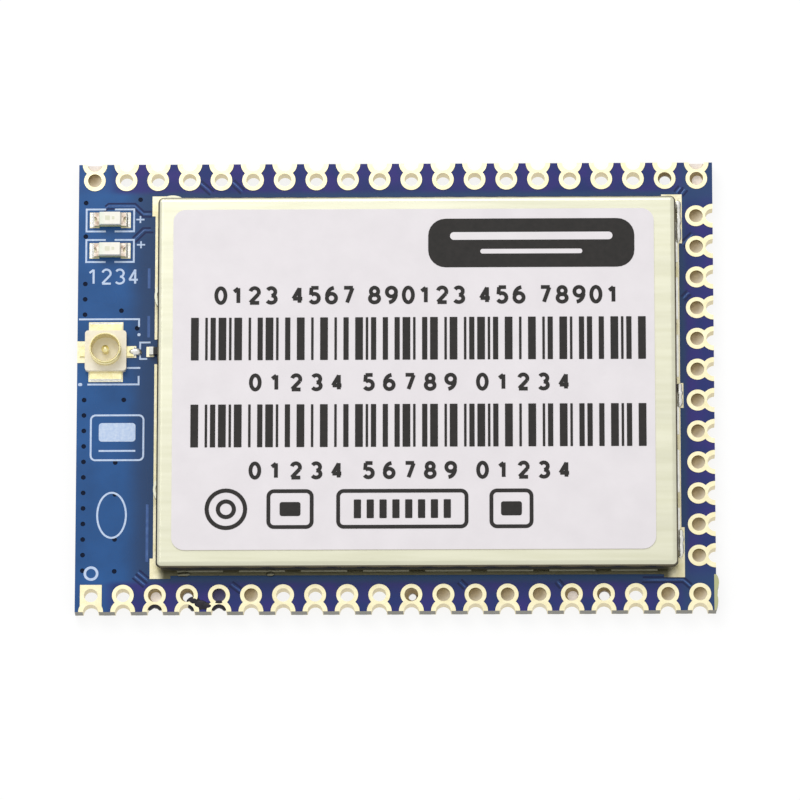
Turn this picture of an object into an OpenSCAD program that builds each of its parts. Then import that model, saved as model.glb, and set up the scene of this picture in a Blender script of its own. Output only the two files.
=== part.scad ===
// Surface-mount wifi radio module. A castellated board with keyhole pads along three edges carries
// a two-piece sheet-metal shield over the radio circuit, two chip lamps and a miniature coaxial socket.
// Millimetres, +Z up. The board's underside is z = 0 and the origin is under the board's middle.

/* [Board] */
// Length of the board along X
board_l = 40; // [39.8:0.1:42]
// Width of the board along Y
board_w = 29; // [28.8:0.1:31]
// Thickness of the laminate with its solder mask
board_t = 1; // [0.6:0.1:1.6]
// Thickness of the gilt copper lands
land_t = 0.04; // [0.03:0.005:0.06]
// How far the snapped panel tab stands out of the right edge
tab_out = 0.18; // [0.1:0.02:0.3]
// Length of the snapped panel tab along the edge
tab_l = 2.1; // [1.2:0.1:2.2]
// Distance from the board's lower right corner to the snapped tab
tab_from_corner = 0.15; // [0:0.05:0.3]
// Diameter of the dimple that the solder mask leaves over a via
via_d = 0.3; // [0.2:0.05:0.35]
// Depth of that dimple
via_depth = 0.08; // [0.04:0.02:0.12]
// Distance from the left edge to the fence of vias
via_inset = 0.46; // [0.4:0.02:0.6]

/* [Keyhole pads] */
// Spacing of the pads along every edge
pad_pitch = 2; // [1.8:0.05:2]
// Number of pads along the upper and the lower edge
row_pads = 20; // [10:1:20]
// Number of pads along the right edge
column_pads = 12; // [6:1:12]
// Distance from the board's edge to the middle of the round hole
pad_inset = 1.05; // [1:0.01:1.15]
// Diameter of the land's ring
ring_d = 1.36; // [1.2:0.02:1.4]
// Diameter of the land's tail, centred on the edge
tail_d = 1.55; // [1.4:0.05:1.7]
// Finished diameter of the round hole
hole_d = 0.86; // [0.7:0.02:0.95]
// Finished diameter of the half hole in the edge
notch_d = 0.94; // [0.8:0.02:1]
// Thickness of the plating on the hole walls
plating_t = 0.035; // [0.025:0.005:0.05]

/* [Shield] */
// Length of the shield's ground land, outside
shield_land_l = 33.4; // [33:0.1:33.6]
// Width of the shield's ground land, outside
shield_land_w = 24.8; // [24.5:0.1:25]
// Width of the band of the ground land
shield_band = 1; // [0.85:0.05:1.1]
// Distance from the ground land to the board's right edge
shield_margin = 1.94; // [1.86:0.02:2]
// How much of the ground land's corners shows outside the cover
land_show = 0.42; // [0.36:0.02:0.46]
// How far the ground land's sides are drawn in between its corners
land_draw_in = 0.2; // [0.1:0.05:0.3]
// Length of the ground land's full width at each corner
land_corner = 1.3; // [1.1:0.1:2]
// Length of its full width at both ends of the right side
land_end_l = 3.2; // [2:0.1:4]
// Length of its full width near the middle of the right side
land_middle_l = 1.6; // [1:0.1:3]
// Depth of that stretch's middle below the shield's middle
land_middle_down = 0.7; // [0:0.1:2]
// Height of the cover's top above the board
shield_h = 1.5; // [1.46:0.02:2.2]
// Thickness of the cover's sheet
cover_t = 0.15; // [0.1:0.01:0.16]
// Outer radius of the fold round the cover's top
cover_fold_r = 0.35; // [0.25:0.01:0.4]
// Height of the cover's sides, from their lower edge to the top
cover_skirt = 1.02; // [0.8:0.02:1.04]
// Length of a snap bulge in the cover's side
bulge_l = 1.3; // [0.8:0.1:1.8]
// How far a snap bulge stands out
bulge_out = 0.2; // [0.15:0.01:0.25]
// Distance from the cover's upper left corner to the snap bulge in its upper side
bulge_from_corner = 0.9; // [0.9:0.1:4]
// Height of the upper snap bulge in the left side above the shield's middle
bulge_up = 5.6; // [4:0.1:6]
// Depth of the lower snap bulge in the left side below the shield's middle
bulge_down = 6.9; // [2:0.1:8]
// Thickness of the frame's sheet
frame_t = 0.2; // [0.15:0.01:0.22]
// Gap between the frame and the cover's sides
frame_gap = 0.04; // [0.02:0.01:0.06]
// Outer radius of the fold along the frame's top
frame_fold_r = 0.32; // [0.28:0.01:0.36]
// Width of the frame's top flange, measured from its outside
flange_w = 0.95; // [0.7:0.05:1.1]
// Distance from the frame's corner to the end of each side
corner_gap = 0.6; // [0.5:0.05:0.8]
// Length of the gap between two feet of the frame
foot_gap = 0.9; // [0.5:0.1:1.2]
// Height of the gap between two feet of the frame
foot_h = 0.28; // [0.15:0.01:0.34]
// Feet along each long side
feet_long = 8; // [5:1:9]
// Feet along each short side
feet_short = 6; // [4:1:7]
// Width of the window for the antenna line
window_w = 1.6; // [1.2:0.1:2]
// Height of the window for the antenna line
window_h = 0.66; // [0.6:0.02:0.7]
// Width of the strap across the frame that a placing nozzle grips
strap_w = 1.2; // [0.8:0.1:2]

/* [Label] */
// Length of the label
label_l = 30.2; // [26:0.1:30.8]
// Width of the label
label_w = 22; // [18:0.1:22.6]
// Thickness of the label
label_t = 0.08; // [0.05:0.01:0.12]
// Radius of the label's corners
label_r = 0.8; // [0.4:0.1:2]
// Distance from the shield's middle to the label's middle, to the left
label_shift_x = 0.2; // [0:0.05:0.3]
// Distance from the shield's middle to the label's middle, upwards
label_shift_y = 0.08; // [0:0.02:0.2]

/* [Lamps] */
// Distance from the left edge to the middle of the lamps
lamp_inset = 2; // [1.9:0.05:2.2]
// Distance from the upper edge to the first lamp
lamp_from_top = 3.65; // [3.5:0.05:3.8]
// Distance between the two lamps
lamp_pitch = 2; // [1.6:0.1:2.2]
// Length of a chip lamp
lamp_l = 2; // [1.7:0.1:2.1]
// Width of a chip lamp
lamp_w = 0.85; // [0.7:0.05:0.95]
// Height of a chip lamp's carrier board
lamp_base_h = 0.22; // [0.16:0.02:0.3]
// Height of a chip lamp over all
lamp_h = 0.6; // [0.5:0.05:0.8]
// Length of a lamp's end terminals
lamp_end = 0.28; // [0.2:0.02:0.4]
// Length of the solder in front of each end of a lamp
lamp_solder = 0.25; // [0.15:0.05:0.3]

/* [Coaxial socket] */
// Distance from the left edge to the middle of the socket
socket_inset = 1.8; // [1.75:0.05:1.9]
// Height of the socket's middle above the board's middle line
socket_y = 2.25; // [1.8:0.05:2.5]
// Side of the socket's square moulding
socket_w = 2.6; // [2.4:0.05:2.7]
// Radius of the moulding's corners
socket_corner_r = 0.2; // [0.1:0.05:0.4]
// Height of the moulding
socket_base_h = 0.42; // [0.3:0.02:0.5]
// Outer diameter of the socket's ring contact
socket_ring_d = 1.98; // [1.8:0.02:2.1]
// Thickness of the ring contact and of the legs
socket_t = 0.12; // [0.08:0.01:0.15]
// Height of the ring contact above the lands
socket_h = 1.2; // [1:0.05:1.4]
// Diameter of the middle pin
pin_d = 0.46; // [0.4:0.02:0.5]
// How far the pin ends below the rim of the ring
pin_below = 0.2; // [0.1:0.05:0.4]
// Width of the two earth legs
leg_w = 2; // [1.6:0.1:2.2]
// How far an earth leg stands out of the moulding
leg_out = 0.48; // [0.3:0.02:0.6]
// Width of the signal tail and of the left earth leg
tail_w = 0.6; // [0.4:0.05:0.7]
// Width of the land under the left earth leg
earth_land_w = 1.4; // [0.8:0.1:1.8]
// How far the signal tail stands out of the moulding
tail_out = 0.45; // [0.3:0.05:0.5]

/* [Chips under the shield] */
// Width of the lanes of chip parts between the packages and along the frame
lane = 1.2; // [1.1:0.05:1.25]
// Side of the processor's package
processor_w = 12; // [10:0.1:12.2]
// Height of the processor's package
processor_h = 0.8; // [0.6:0.05:0.85]
// Spacing of the processor's solder balls
ball_pitch = 0.8; // [0.75:0.01:0.85]
// Diameter of a solder ball
ball_d = 0.4; // [0.3:0.02:0.5]
// Height of a solder ball
ball_h = 0.25; // [0.2:0.01:0.3]
// Solder balls along each side of the processor
balls = 14; // [10:1:14]
// Width of the memory's body
memory_w = 10.16; // [9.8:0.02:10.3]
// Length of the memory's body
memory_l = 22.22; // [22:0.02:22.4]
// Height of the memory's body
memory_h = 0.95; // [0.8:0.05:1]
// Leads on each side of the memory
memory_leads = 27; // [20:1:27]
// Spacing of the memory's leads
memory_pitch = 0.8; // [0.7:0.02:0.8]
// How far the memory's leads reach out of its body
lead_reach = 0.8; // [0.7:0.05:0.9]
// Thickness of every lead frame
lead_t = 0.12; // [0.1:0.01:0.15]
// Height of every leaded body above the lands
standoff = 0.1; // [0.05:0.01:0.15]
// Length of the flash chip
flash_l = 6; // [5.6:0.1:6.4]
// Width of the flash chip
flash_w = 5; // [4.6:0.1:5.2]
// Height of the flash chip
flash_h = 0.75; // [0.6:0.05:0.9]
// Spacing of the flash chip's contacts
flash_pitch = 1.27; // [1.1:0.01:1.3]
// Side of the radio front-end chip
front_end_w = 3; // [2.6:0.1:3.2]
// Height of the radio front-end chip
front_end_h = 0.75; // [0.6:0.05:0.9]
// Length of the crystal
crystal_l = 3.2; // [3:0.1:3.4]
// Width of the crystal
crystal_w = 2.5; // [2.3:0.1:2.6]
// Height of the crystal
crystal_h = 0.7; // [0.6:0.05:0.8]
// Side of a power coil
coil_w = 3; // [2.6:0.1:3.1]
// Height of a power coil
coil_h = 1; // [0.8:0.05:1.05]
// Length of a voltage converter's body
converter_l = 2.9; // [2.7:0.05:3]
// Width of a voltage converter's body
converter_w = 1.6; // [1.4:0.05:1.7]
// Spacing of a converter's leads
converter_pitch = 0.95; // [0.9:0.01:1]
// Height of a voltage converter's body
converter_h = 0.9; // [0.8:0.05:1]
// Length of a chip capacitor or resistor
chip_l = 1; // [0.9:0.02:1.05]
// Width of a chip capacitor or resistor
chip_w = 0.5; // [0.45:0.01:0.55]
// Height of a chip capacitor
capacitor_h = 0.5; // [0.4:0.02:0.55]
// Height of a chip resistor
resistor_h = 0.35; // [0.3:0.01:0.4]
// Length of a chip's end cap
end_cap = 0.25; // [0.2:0.01:0.3]

/* [Hidden] */
$fn = 48;
// An overhang that carries a cutting shape clear of the surface it cuts
over = 1;
// Levels: the board's upper face, the top of the lands, the cover's top and the frame's top
board_z = board_t;
land_z = board_t + land_t;
cover_z = board_t + shield_h;
frame_z = cover_z - cover_t;
// Edges of the board
edge_x = board_l/2;
edge_y = board_w/2;
// Pads: how many fit on the edge, the number asked for at most
pads_x = min(row_pads, floor((board_l - tail_d)/pad_pitch) + 1);
pads_y = min(column_pads, floor((board_w - 2*(pad_inset + ring_d))/pad_pitch) + 1);
first_x = -(pads_x - 1)/2*pad_pitch;
first_y = -(pads_y - 1)/2*pad_pitch;
// The shield's middle, and the sizes of its two pieces outside
shield_x = edge_x - shield_margin - shield_land_l/2;
cover_l = shield_land_l - 2*land_show;
cover_w = shield_land_w - 2*land_show;
cover_out = [cover_l, cover_w];
frame_out = cover_out - 2*(cover_t + frame_gap)*[1, 1];
frame_h = frame_z - land_z;
// The antenna line runs at the height of the socket, and the window stands round it
line_y = socket_y;
// The lamps and the socket, from the board's edges
lamp_x = -edge_x + lamp_inset;
lamp_ys = [for (i = [0, 1]) edge_y - lamp_from_top - i*lamp_pitch];
socket_x = -edge_x + socket_inset;
socket_r = socket_ring_d/2;
// The chip part in the window is centred on the ground land's outer edge
line_part_x = shield_x - shield_land_l/2 + 0.38;
// Room that a land leaves round what it carries
land_room = 0.08;
// Thickness of a solder edge where it runs out
solder_lip = 0.03;

// Places under the shield, from the shield's middle: [x, y]. Half the room inside the frame comes first
inside = frame_out/2 - frame_t*[1, 1];
memory_at = [inside.x - 0.75*lane - lead_reach - memory_w/2, 0];
processor_at = [
    memory_at.x - memory_w/2 - lead_reach - 1.25*lane - processor_w/2,
    inside.y - 2*lane - processor_w/2];
processor_low = processor_at - processor_w/2*[1, 1];
front_end_at = [processor_low.x - lane - front_end_w/2, line_y];
flash_at = [processor_at.x + 1.5*lane, processor_low.y - 1.7*lane - flash_w/2];
crystal_at = [front_end_at.x, inside.y - 1.5*lane - crystal_w/2];
coil_step = coil_w + 0.6*lane;
coil_low = coil_w/2*[1, 1] + 0.8*lane*[1, 1] - inside;
coils_at = [coil_low, coil_low + [coil_step, 0], coil_low + [0, coil_step + 0.4*lane]];
converters_at = [coil_low + [coil_step + 0.25*lane, coil_w/2 + converter_w/2 + 1.1*lane]];
// Places of the chip capacitors and resistors: [x, y, turn], a row at a time
chip_step = chip_l + 0.6*lane;
capacitors_at = concat(
    [for (i = [0:6]) [processor_low.x + 0.75*lane + i*chip_step, inside.y - lane, 90]],
    [for (i = [0:4]) [processor_low.x - lane/2, processor_low.y + lane + i*1.2*chip_step, 90]],
    [for (i = [0:2]) [flash_at.x - flash_w/2 - 1.5*lane, flash_at.y + flash_w/2 - lane/2 - i*chip_step, 90]],
    [for (x = [-1, 1]) [front_end_at.x + x*front_end_w/4, front_end_at.y - front_end_w/2 - lane, 90]],
    [[front_end_at.x - front_end_w/4, front_end_at.y + front_end_w/2 + lane, 90]]);
resistors_at = concat(
    [for (i = [0:3]) [processor_at.x - 2.5*lane + i*chip_step, processor_low.y - 0.85*lane, 0]],
    [for (i = [0:3]) [memory_at.x - memory_w/2 - lead_reach - lane, -inside.y + 1.5*lane + i*chip_step, 90]],
    [for (x = [-1, 1]) [crystal_at.x + x*0.9*lane, crystal_at.y - crystal_w/2 - 0.8*lane, 90]]);

// Vias along the left edge, from its middle, and beside the antenna line: [x from the left edge, y]
fence_vias = concat(
    [for (y = [12, 9.8, 6.7, 5.7, 4.7]) [via_inset, y]],
    [for (i = [0:11]) [via_inset, -0.85 - i]]);
inner_vias = [
    [3.9, 12.2], [2.75, 4.95], [3.75, 3.8], [2.95, -0.85],
    [2.45, -4.9], [2.45, -6.95], [2.45, -9.85], [2.45, -11.9]];

// ---------- shapes ----------

// A keyhole land with its tail on the edge and its ring inside; +Y runs into the board
module land_outline(ring_d, square_ring = false) {
    intersection() {
        union() {
            translate([0, pad_inset])
                if (square_ring) square(ring_d, center = true); else circle(d = ring_d);
            circle(d = tail_d);
        }
        translate([-tail_d, 0]) square([2*tail_d, pad_inset + ring_d]);
    }
}
// The round hole and the half hole of a keyhole pad, grown by the wall of the plating
module hole_outline(wall = 0) {
    translate([0, pad_inset]) circle(d = hole_d + 2*wall);
    circle(d = notch_d + 2*wall);
}
// The plating on the two hole walls
module plating_outline() {
    intersection() {
        difference() { hole_outline(plating_t); hole_outline(); }
        translate([-tail_d, 0]) square([2*tail_d, pad_inset + ring_d]);
    }
}
// One keyhole pad: both lands and the plated walls, one piece of metal
module keyhole_pad(square_ring = false) {
    for (z = [0, board_z]) translate([0, 0, z]) linear_extrude(land_t) difference() {
        land_outline(ring_d, square_ring);
        hole_outline();
    }
    linear_extrude(land_z) plating_outline();
}
// Children repeated along the edges; the turn brings +Y into the board
module along_top() for (i = [0:pads_x - 1])
    translate([first_x + i*pad_pitch, edge_y]) rotate(180) children();
module along_bottom(first = 0) {
    for (i = [first:pads_x - 1]) translate([first_x + i*pad_pitch, -edge_y]) children();
}
module along_right() for (i = [0:pads_y - 1])
    translate([edge_x, first_y + i*pad_pitch]) rotate(90) children();

// A rectangle about the origin with round corners
module round_rect(size, r) {
    square(size - [2*r, 0], center = true);
    square(size - [0, 2*r], center = true);
    for (x = [-1, 1], y = [-1, 1]) translate([x*(size.x/2 - r), y*(size.y/2 - r)]) circle(r);
}
// Children on each of the four sides of a rectangle, +X running along the side and +Y outwards
module on_sides(size) {
    for (s = [[0, size.y, 0], [0, size.y, 180], [size.y, size.x, 90], [size.y, size.x, 270]])
        rotate(s[2]) translate([0, s[1]/2, 0]) children();
}
// The section of a folded edge: a quarter round of sheet, with a side running down from it.
// The outer side is y = 0, the top is z = 0 and the sheet lies towards -Y
module fold_section(r, t, skirt) {
    translate([-r, -r]) intersection() {
        difference() { circle(r); circle(r - t); }
        square(r);
    }
    translate([-t, -skirt]) square([t, skirt - r]);
}
module fold_edge(length, r, t, skirt) {
    translate([-length/2, 0, 0]) rotate([90, 0, 90]) linear_extrude(length) fold_section(r, t, skirt);
}
// A run of solder against an upright wall, hollow in front, along X; +Y points away from the wall
module fillet(length, reach, rise) {
    translate([-length/2, 0, 0]) rotate([90, 0, 90]) linear_extrude(length) polygon([
        [0, 0], [reach, 0], [reach, solder_lip], [0.5*reach, 0.22*rise],
        [0.2*reach, 0.55*rise], [solder_lip, rise], [0, rise]]);
}
// A flat lead bent down to the board, along +Y from a body side at y = 0; its foot lies on z = 0
module gull_lead(width, reach, height) {
    foot = 0.45*reach;
    rotate([90, 0, 90]) linear_extrude(width, center = true) polygon([
        [-over/4, height], [-over/4, height - lead_t], [0.25*reach, height - lead_t],
        [reach - foot - lead_t/2, 0], [reach, 0], [reach, lead_t], [reach - foot + lead_t/2, lead_t],
        [0.25*reach + lead_t, height]]);
}
// A moulded body with the parting line at mid height and slightly drafted sides
module moulded_body(size, lift, draft = 0.06) {
    module half() for (s = [0:1]) mirror([0, 0, s]) {
        rotate([90, 0, 0]) linear_extrude(size.y, center = true) polygon([
            [-size.x/2, 0], [size.x/2, 0], [size.x/2 - draft, size.z/2], [draft - size.x/2, size.z/2]]);
    }
    translate([0, 0, lift + size.z/2]) half();
}
// A pin-one dot, sunk in a package's top
module dot(at, z, d = 0.8) translate([at.x, at.y, z - 0.05]) cylinder(d = d, h = over);
// Two end caps of a chip part along X, and the body between them
module chip_ends(length, width, height, cap) {
    for (s = [-1, 1]) translate([s*(length - cap)/2, 0, height/2]) cube([cap, width, height], center = true);
}
module chip_middle(length, width, height, cap) {
    inset = 0.02;
    translate([0, 0, height/2]) cube([length - 2*cap, width - 2*inset, height - 2*inset], center = true);
}
// Children at the places in a list, above the shield's middle and turned as the list says
module at_places(places, z = land_z) {
    for (p = places) translate([shield_x + p.x, p.y, z]) rotate(len(p) > 2 ? p[2] : 0) children();
}
module at_place(p, z = land_z) translate([shield_x + p.x, p.y, z]) children();
module at_socket() translate([socket_x, socket_y, land_z]) children();
module at_lamps() for (y = lamp_ys) translate([lamp_x, y, land_z]) children();

// ---------- board and pads ----------

module board_outline() {
    square([board_l, board_w], center = true);
    // the snapped tab, a ragged row of three shallow humps
    for (h = [[0.22, 0.5, 0.7], [0.5, 0.55, 0.55], [0.78, 0.5, 1]]) {
        chord = h[1]*tab_l;
        sag = h[2]*tab_out;
        r = (chord*chord/4 + sag*sag)/(2*sag);
        intersection() {
            translate([edge_x + sag - r, -edge_y + tab_from_corner + h[0]*tab_l]) circle(r, $fn = 96);
            translate([edge_x - 0.1, -edge_y]) square([tab_out + over, edge_y]);
        }
    }
}
module pcb_board() color("#2f5591") difference() {
    linear_extrude(board_t) difference() {
        board_outline();
        along_top() hole_outline(plating_t);
        along_bottom() hole_outline(plating_t);
        along_right() hole_outline(plating_t);
    }
    // the lower lands lie flush in the board's underside
    translate([0, 0, -over]) linear_extrude(over + land_t) {
        along_top() land_outline(ring_d);
        along_bottom(1) land_outline(ring_d);
        along_right() land_outline(ring_d);
        translate([first_x, -edge_y]) land_outline(ring_d, true);
    }
    for (v = concat(fence_vias, inner_vias))
        translate([v.x - edge_x, v.y, board_z - via_depth]) cylinder(d = via_d, h = over, $fn = 24);
}
module pads_top_row() color("#f0e2a8") along_top() keyhole_pad();
module pads_bottom_row() color("#f0e2a8") along_bottom(1) keyhole_pad();
module pads_right_column() color("#f0e2a8") along_right() keyhole_pad();
module pad_pin_one() color("#f0e2a8") translate([first_x, -edge_y]) keyhole_pad(true);

// ---------- shield ----------

module shield_land() color("#efe6bd") translate([shield_x, 0, board_z]) linear_extrude(land_t) difference() {
    full = [shield_land_l, shield_land_w];
    union() {
        square(full - 2*land_draw_in*[1, 1], center = true);
        for (x = [-1, 1], y = [-1, 1])
            translate([x*(full.x - land_corner)/2, y*(full.y - land_corner)/2])
                square(land_corner, center = true);
        // on the right side the full width runs on, for the solder of a touch-up
        for (stretch = [
            [(full.y - land_end_l)/2, land_end_l], [-land_middle_down, land_middle_l],
            [(land_end_l - full.y)/2, land_end_l]])
            translate([(full.x - shield_band)/2, stretch[0]])
                square([shield_band, stretch[1]], center = true);
    }
    square(full - 2*shield_band*[1, 1], center = true);
    translate([-full.x/2, line_y]) square([3*shield_band, window_w], center = true);
}
// The frame's sides stand on the land; gaps along their lower edge leave the feet
module frame_side(length, feet) {
    pitch = length/feet;
    difference() {
        fold_edge(length, frame_fold_r, frame_t, frame_h);
        for (i = [1:feet - 1]) translate([-length/2 + i*pitch - foot_gap/2, -over, -frame_h - over])
            cube([foot_gap, 2*over, over + foot_h]);
    }
}
module shield_frame() color("#b9b49a") translate([shield_x, 0, frame_z]) difference() {
    inner = frame_out - 2*flange_w*[1, 1];
    flat = frame_out - 2*frame_fold_r*[1, 1];
    union() {
        for (a = [0, 180]) rotate(a) {
            translate([0, frame_out.y/2, 0]) frame_side(frame_out.x - 2*corner_gap, feet_long);
            rotate(90) translate([0, frame_out.x/2, 0])
                frame_side(frame_out.y - 2*corner_gap, feet_short);
        }
        // the flange with its strap
        translate([0, 0, -frame_t]) linear_extrude(frame_t) {
            difference() { square(flat, center = true); round_rect(inner, 1); }
            square([strap_w, flat.y], center = true);
            circle(2*strap_w);
        }
    }
    // the window for the antenna line
    translate([-frame_out.x/2, line_y, land_z - frame_z])
        cube([4*frame_t, window_w, 2*window_h], center = true);
}
// A shallow bulge pressed out of a side, hollow behind, its chord along X
module bulge(length, out, t, from, to) {
    r = (length*length/4 + out*out)/(2*out);
    translate([0, out - r, from]) intersection() {
        difference() {
            cylinder(r = r, h = to - from, $fn = 96);
            translate([0, 0, -over]) cylinder(r = r - t, h = to - from + 2*over, $fn = 96);
        }
        translate([-length, r - out - t, 0]) cube([2*length, out + 2*t, to - from]);
    }
}
module shield_cover() color("#f1f0d8") translate([shield_x, 0, cover_z]) {
    flat = cover_out - 2*cover_fold_r*[1, 1];
    bulge_r = (bulge_l*bulge_l/4 + bulge_out*bulge_out)/(2*bulge_out);
    bulge_z = [-cover_skirt + 0.12, -cover_fold_r - 0.1];
    bulges = [
        [-cover_out.x/2, bulge_up, 90], [-cover_out.x/2, -bulge_down, 90],
        [bulge_from_corner - cover_out.x/2, cover_out.y/2, 0]];
    difference() {
        union() {
            translate([0, 0, -cover_t]) linear_extrude(cover_t) square(flat, center = true);
            for (a = [0, 180]) rotate(a) {
                translate([0, cover_out.y/2, 0]) fold_edge(flat.x, cover_fold_r, cover_t, cover_skirt);
                rotate(90) translate([0, cover_out.x/2, 0])
                    fold_edge(flat.y, cover_fold_r, cover_t, cover_skirt);
            }
            // the drawn corners, an eighth of a hollow ball each
            for (x = [0, 1], y = [0, 1]) mirror([x, 0, 0]) mirror([0, y, 0])
                translate([flat.x/2, flat.y/2, -cover_fold_r]) rotate_extrude(angle = 90)
                    intersection() {
                        difference() { circle(cover_fold_r); circle(cover_fold_r - cover_t); }
                        square(cover_fold_r);
                    }
        }
        // behind each bulge the side is open
        for (b = bulges) translate([b.x, b.y, 0]) rotate(b[2])
            translate([0, bulge_out - bulge_r, bulge_z[0]])
                cylinder(r = bulge_r - cover_t, h = bulge_z[1] - bulge_z[0], $fn = 96);
        // the window for the antenna line
        translate([-cover_out.x/2, line_y, land_z - cover_z])
            cube([4*cover_t, window_w, 2*window_h], center = true);
    }
    for (b = bulges) translate([b.x, b.y, 0]) rotate(b[2])
        bulge(bulge_l, bulge_out, cover_t, bulge_z[0], bulge_z[1]);
}
module label() color("#e9e5e8")
    translate([shield_x - label_shift_x, label_shift_y, cover_z])
        linear_extrude(label_t) round_rect([label_l, label_w], label_r);

// Solder along the frame's feet, with longer and fuller runs where the cover's right side was touched up
module shield_solder() color("#d9dad6") translate([shield_x, 0, land_z]) {
    reach = 0.8*(frame_gap + cover_t + land_show - land_draw_in);
    rise = min(foot_h, frame_h - cover_skirt) - 0.02;
    for (long = [true, false], s = [0, 180]) {
        size = long ? frame_out : [frame_out.y, frame_out.x];
        feet = long ? feet_long : feet_short;
        run = size.x - 2*corner_gap;
        pitch = run/feet;
        // the left side's feet stop short of the antenna line's window
        rotate((long ? 0 : 90) + s) translate([0, size.y/2, 0])
            for (i = [0:feet - 1]) {
                x = -run/2 + (i + 0.5)*pitch;
                near_line = !long && s == 0 && abs(x - line_y) < (pitch + window_w)/2;
                if (!near_line) translate([x, 0, 0])
                    fillet(pitch - foot_gap - 0.1, !long && s == 180 ? reach : 0.6*reach, rise);
            }
    }
}

// ---------- lands under the parts ----------

// Two lands of a chip part of the given length along X
module chip_lands(length, width, cap, out = 0.15) {
    for (s = [-1, 1]) translate([s*(length - cap + out)/2, 0])
        square([cap + out + land_room, width + 2*land_room], center = true);
}
module component_lands() color("#efe6bd") {
    translate([0, 0, board_z]) linear_extrude(land_t) {
        for (y = lamp_ys) translate([lamp_x, y])
            chip_lands(lamp_l, lamp_w, lamp_end, lamp_solder);
        translate([line_part_x, line_y]) chip_lands(chip_l, chip_w, end_cap);
        translate([socket_x, socket_y]) socket_lands();
        translate([shield_x, 0]) {
            for (p = capacitors_at) translate([p.x, p.y]) rotate(p[2]) chip_lands(chip_l, chip_w, end_cap);
            for (p = resistors_at) translate([p.x, p.y]) rotate(p[2]) chip_lands(chip_l, chip_w, end_cap);
            for (p = coils_at) translate(p) chip_lands(coil_w, coil_w, 0.25*coil_w, 0);
            for (p = converters_at) translate(p) converter_places() square([0.5, 0.7], center = true);
            translate(crystal_at) for (x = [-1, 1], y = [-1, 1])
                translate([x*0.34*crystal_l, y*0.3*crystal_w])
                    square([0.3*crystal_l, 0.36*crystal_w], center = true);
            translate(flash_at) flash_places() square([0.62, 0.5], center = true);
            translate(front_end_at) front_end_places() square([0.5, 0.3], center = true);
            translate(processor_at) ball_places() circle(d = 0.9*ball_d, $fn = 16);
            translate(memory_at) memory_places() translate([0, lead_reach - 0.25])
                square([0.5*memory_pitch, 0.75], center = true);
        }
    }
}

// ---------- lamps and the chip part in the window ----------

module lamp_carriers() color("#cfd8b0") at_lamps() difference() {
    translate([0, 0, lamp_base_h/2]) cube([lamp_l - 2*plating_t, lamp_w, lamp_base_h], center = true);
    for (s = [-1, 1]) translate([s*lamp_l/2, 0, -over]) cylinder(d = 0.5*lamp_w, h = lamp_base_h + 2*over);
}
// Each terminal wraps the carrier's end and has the half-round hollow of a cut plated hole
module lamp_terminals() color("#a89a86") at_lamps() for (s = [0, 180]) rotate(s) difference() {
    union() {
        translate([lamp_l/2 - lamp_end, -lamp_w/2, lamp_base_h]) cube([lamp_end, lamp_w, land_t]);
        translate([lamp_l/2 - plating_t, -lamp_w/2, 0]) cube([plating_t, lamp_w, lamp_base_h + land_t]);
        translate([lamp_l/2, 0, 0]) cylinder(d = 0.5*lamp_w, h = lamp_base_h + land_t);
    }
    translate([lamp_l/2, 0, -over]) cylinder(d = 0.5*lamp_w - 2*plating_t, h = lamp_h + 2*over);
    translate([lamp_l/2, -lamp_w, -over]) cube([over, 2*lamp_w, lamp_h + 2*over]);
}
module lamp_lenses() color("#eef0dc", 0.8) at_lamps() translate([0, 0, lamp_base_h + land_t]) {
    length = lamp_l - 2*lamp_end;
    height = lamp_h - lamp_base_h - land_t;
    rotate([90, 0, 0]) linear_extrude(lamp_w - 0.06, center = true) polygon([
        [-length/2, 0], [length/2, 0], [length/2 - 0.08, height], [0.08 - length/2, height]]);
}
module lamp_solder() color("#d9dad6") at_lamps() for (s = [90, -90])
    rotate(s) translate([0, -lamp_l/2, 0]) rotate(180)
        fillet(lamp_w + land_room, lamp_solder, 0.9*lamp_base_h);
module line_part_body() color("#2a2a2c") translate([line_part_x, line_y, land_z])
    chip_middle(chip_l, chip_w, resistor_h, end_cap);
module line_part_ends() color("#e4e4e0") translate([line_part_x, line_y, land_z])
    chip_ends(chip_l, chip_w, resistor_h, end_cap);

// ---------- coaxial socket ----------

module socket_lands() {
    for (s = [-1, 1]) translate([0, s*(socket_w/2 + leg_out/2)])
        square([leg_w + 2*land_room, leg_out + 4*land_room], center = true);
    // the left land runs to the board's edge, the right one carries the signal
    translate([-socket_inset, -earth_land_w/2])
        square([socket_inset - socket_w/2 + 2*land_room, earth_land_w]);
    translate([socket_w/2 - 2*land_room, -tail_w/2 - land_room])
        square([tail_out + 4*land_room, tail_w + 2*land_room]);
}
// The floor of the ring contact with its three legs, and the ring on it with a latching groove
module socket_ring_contact() color("#e6c66a") at_socket() difference() {
    groove = 0.05;
    union() {
        linear_extrude(socket_t) {
            circle(socket_r);
            square([leg_w, socket_w + 2*leg_out], center = true);
            translate([-socket_inset + 2*land_room, -tail_w/2]) square([socket_inset, tail_w]);
        }
        rotate_extrude() polygon([
            [socket_r - socket_t, 0], [socket_r, 0], [socket_r, 0.62*socket_h],
            [socket_r - groove, 0.66*socket_h], [socket_r - groove, 0.8*socket_h],
            [socket_r, 0.84*socket_h], [socket_r - 0.3*socket_t, socket_h],
            [socket_r - 0.7*socket_t, socket_h], [socket_r - socket_t, socket_h - 0.4*socket_t]]);
    }
    // clearance round the middle contact and its tail
    translate([0, 0, -over]) cylinder(r = 0.55*socket_r, h = over + socket_t + 0.01);
    translate([0, -0.8*tail_w, -over]) cube([socket_w, 1.6*tail_w, over + socket_base_h]);
}
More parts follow.
